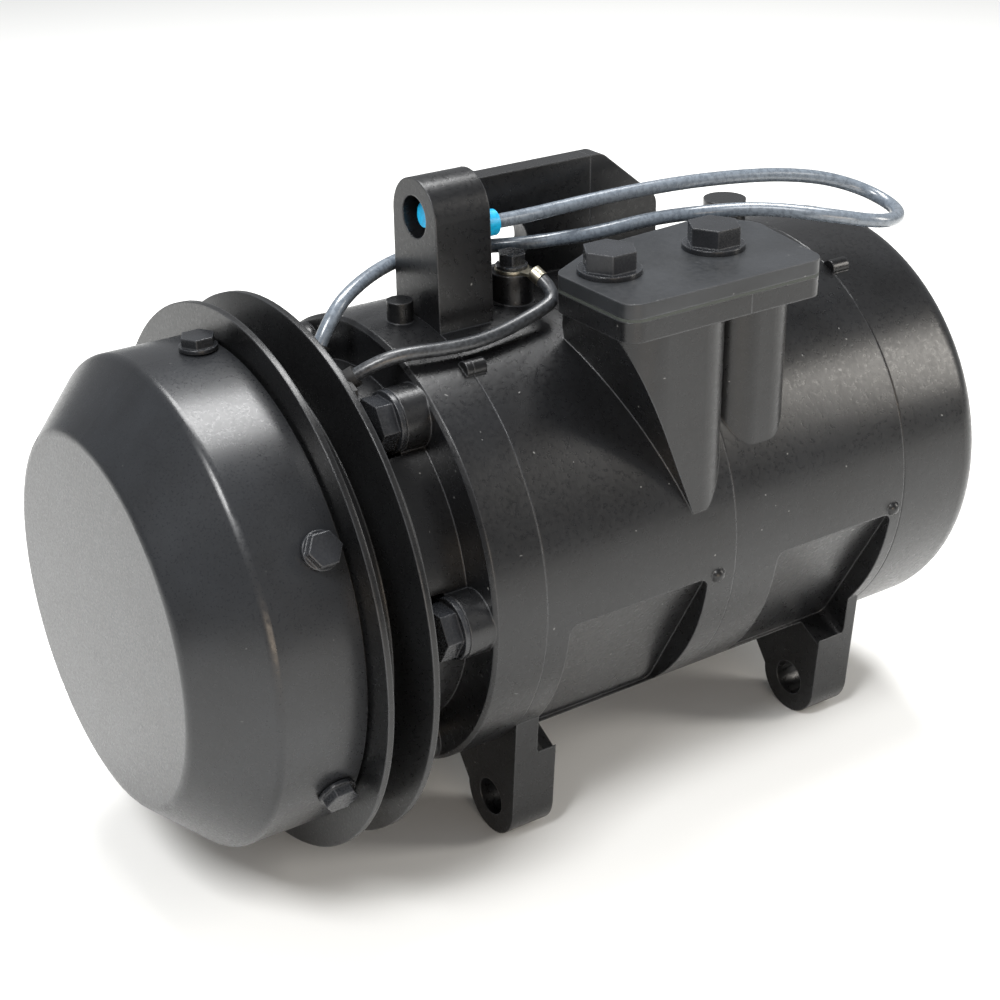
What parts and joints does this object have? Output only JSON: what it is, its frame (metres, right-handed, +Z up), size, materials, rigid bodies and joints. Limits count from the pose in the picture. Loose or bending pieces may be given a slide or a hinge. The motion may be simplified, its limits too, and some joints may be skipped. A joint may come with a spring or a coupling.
{
  "type": "air-conditioning compressor",
  "caption": "Belt-driven swash-plate refrigerant compressor with a magnetic clutch, V-groove pulley, dust cover, lower mounting ears and a flying clutch lead.",
  "frame": {"origin": "on the shaft axis, in the middle plane of the belt groove", "axes": "+X along the shaft from the clutch to the rear head, +Z up, away from the four lower mounting ears, -Y the side with the ports' flange"},
  "size_m": [0.2578, 0.152, 0.1862],
  "materials": {
    "black_cast": "semi-gloss black paint over cast aluminium",
    "cover_paint": "satin black paint on pressed steel",
    "pulley_steel": "black paint on steel, bright friction face",
    "bearing_steel": "ground and polished",
    "plated_steel": "zinc plated",
    "spring_steel": "blued spring steel",
    "machined_steel": "turned",
    "coil_steel": "black paint",
    "copper": "enamelled copper wire",
    "cast_iron": "ground",
    "bronze": "polished",
    "aluminium": "machined",
    "bolt_black": "painted over with the casing",
    "cover_plate": "black painted sheet",
    "rubber": "matt",
    "gasket": "coated fibre",
    "tinned_brass": "tinned",
    "lead_grey": "woven and varnished sleeve",
    "connector_blue": "moulded nylon"
  },
  "bodies": {
    "casing": {"front_housing": "black_cast", "rear_housing": "black_cast", "front_cylinder": "black_cast", "rear_cylinder": "black_cast", "through_bolts": "bolt_black", "body_o_rings": "rubber", "front_valve_plate": "machined_steel", "rear_valve_plate": "machined_steel", "suction_reeds": "spring_steel", "discharge_reeds": "spring_steel", "head_gaskets": "gasket", "shaft_seal": "rubber", "snap_rings": "plated_steel", "coil_case": "coil_steel", "coil_winding": "copper", "coil_grommet": "rubber", "bearing_inner_race": "bearing_steel", "fixed_thrust_races": "bearing_steel", "needle_bearing_cups": "bearing_steel", "port_gasket": "gasket", "shipping_cover": "cover_plate", "shipping_cover_bolts": "bolt_black", "earth_screw": "plated_steel", "ring_terminal": "tinned_brass", "ground_lead": "lead_grey", "power_lead": "lead_grey", "power_connector": "connector_blue"},
    "pulley": {"pulley": "pulley_steel", "bearing_outer_race": "bearing_steel", "bearing_retaining_ring": "plated_steel", "dust_cover": "cover_paint", "cover_screws": "plated_steel"},
    "bearing_balls": {"bearing_balls": "bearing_steel"},
    "shaft": {"shaft": "machined_steel", "swash_plate": "cast_iron", "turning_thrust_races": "bearing_steel", "hub_key": "plated_steel", "hub_shims": "plated_steel", "hub_nut": "plated_steel", "clutch_hub": "machined_steel", "hub_rivets": "plated_steel", "leaf_springs": "spring_steel"},
    "armature": {"armature_plate": "machined_steel", "armature_rivets": "plated_steel"},
    "thrust_rollers": {"thrust_rollers": "bearing_steel"},
    "needle_rollers": {"needle_rollers": "bearing_steel"},
    "oil_plug": {"oil_plug_ball": "bearing_steel"},
    "front_ball_1": {"front_ball_1": "bearing_steel"},
    "shoes_1": {"shoes_1": "bronze"},
    "piston_1": {"piston_1": "aluminium", "rear_ball_1": "bearing_steel"},
    "front_ball_2": {"front_ball_2": "bearing_steel"},
    "shoes_2": {"shoes_2": "bronze"},
    "piston_2": {"piston_2": "aluminium", "rear_ball_2": "bearing_steel"},
    "front_ball_3": {"front_ball_3": "bearing_steel"},
    "shoes_3": {"shoes_3": "bronze"},
    "piston_3": {"piston_3": "aluminium", "rear_ball_3": "bearing_steel"}
  },
  "joints": [
    {"name": "shaft_spin", "type": "hinge", "parent": "casing", "child": "shaft", "pos_m": [0, 0, 0], "axis": [1, 0, 0], "continuous": true},
    {"name": "pulley_spin", "type": "hinge", "parent": "casing", "child": "pulley", "pos_m": [0, 0, 0], "axis": [1, 0, 0], "continuous": true},
    {"name": "bearing_ball_spin", "type": "hinge", "parent": "casing", "child": "bearing_balls", "pos_m": [0, 0, 0], "axis": [1, 0, 0], "continuous": true},
    {"name": "armature_engage", "type": "slide", "parent": "shaft", "child": "armature", "axis": [1, 0, 0], "range_m": [0, 0.00048], "stiffness_N_per_m": 60000, "deforming": ["leaf_springs"]},
    {"name": "thrust_roller_spin", "type": "hinge", "parent": "casing", "child": "thrust_rollers", "pos_m": [0, 0, 0], "axis": [1, 0, 0], "continuous": true},
    {"name": "needle_roller_spin", "type": "hinge", "parent": "casing", "child": "needle_rollers", "pos_m": [0, 0, 0], "axis": [1, 0, 0], "continuous": true},
    {"name": "oil_plug_turn", "type": "hinge", "parent": "shaft", "child": "oil_plug", "pos_m": [0.09761, 0, 0], "axis": [0.9383, 0, 0.3457], "continuous": true},
    {"name": "front_ball_1_swing", "type": "hinge", "parent": "oil_plug", "child": "front_ball_1", "pos_m": [0.09718, 0, 0.00117], "axis": [0.9383, 0, 0.3457], "continuous": true},
    {"name": "shoes_1_turn", "type": "hinge", "parent": "front_ball_1", "child": "shoes_1", "pos_m": [0.08361, 0, 0.038], "axis": [0.9383, 0, 0.3457], "continuous": true},
    {"name": "piston_1_stroke", "type": "hinge", "parent": "shoes_1", "child": "piston_1", "pos_m": [0.08361, 0, 0.038], "axis": [1, 0, 0], "continuous": true},
    {"name": "front_ball_2_swing", "type": "hinge", "parent": "oil_plug", "child": "front_ball_2", "pos_m": [0.09783, 0.00108, -0.00059], "axis": [0.9383, 0, 0.3457], "continuous": true},
    {"name": "shoes_2_turn", "type": "hinge", "parent": "front_ball_2", "child": "shoes_2", "pos_m": [0.10461, -0.03291, -0.019], "axis": [0.9383, 0, 0.3457], "continuous": true},
    {"name": "piston_2_stroke", "type": "hinge", "parent": "shoes_2", "child": "piston_2", "pos_m": [0.10461, -0.03291, -0.019], "axis": [1, 0, 0], "continuous": true},
    {"name": "front_ball_3_swing", "type": "hinge", "parent": "oil_plug", "child": "front_ball_3", "pos_m": [0.09783, -0.00108, -0.00059], "axis": [0.9383, 0, 0.3457], "continuous": true},
    {"name": "shoes_3_turn", "type": "hinge", "parent": "front_ball_3", "child": "shoes_3", "pos_m": [0.10461, 0.03291, -0.019], "axis": [0.9383, 0, 0.3457], "continuous": true},
    {"name": "piston_3_stroke", "type": "hinge", "parent": "shoes_3", "child": "piston_3", "pos_m": [0.10461, 0.03291, -0.019], "axis": [1, 0, 0], "continuous": true}
  ],
  "couplings": [
    {"joint": "bearing_ball_spin", "follows": "pulley_spin", "ratio": 0.568},
    {"joint": "thrust_roller_spin", "follows": "shaft_spin", "ratio": 0.5},
    {"joint": "needle_roller_spin", "follows": "shaft_spin", "ratio": 0.444},
    {"joint": "oil_plug_turn", "follows": "shaft_spin", "ratio": 1},
    {"joint": "front_ball_1_swing", "follows": "shaft_spin", "ratio": -2},
    {"joint": "shoes_1_turn", "follows": "shaft_spin", "ratio": 1},
    {"joint": "piston_1_stroke", "follows": "shaft_spin", "ratio": -1},
    {"joint": "front_ball_2_swing", "follows": "shaft_spin", "ratio": -2},
    {"joint": "shoes_2_turn", "follows": "shaft_spin", "ratio": 1},
    {"joint": "piston_2_stroke", "follows": "shaft_spin", "ratio": -1},
    {"joint": "front_ball_3_swing", "follows": "shaft_spin", "ratio": -2},
    {"joint": "shoes_3_turn", "follows": "shaft_spin", "ratio": 1},
    {"joint": "piston_3_stroke", "follows": "shaft_spin", "ratio": -1}
  ]
}
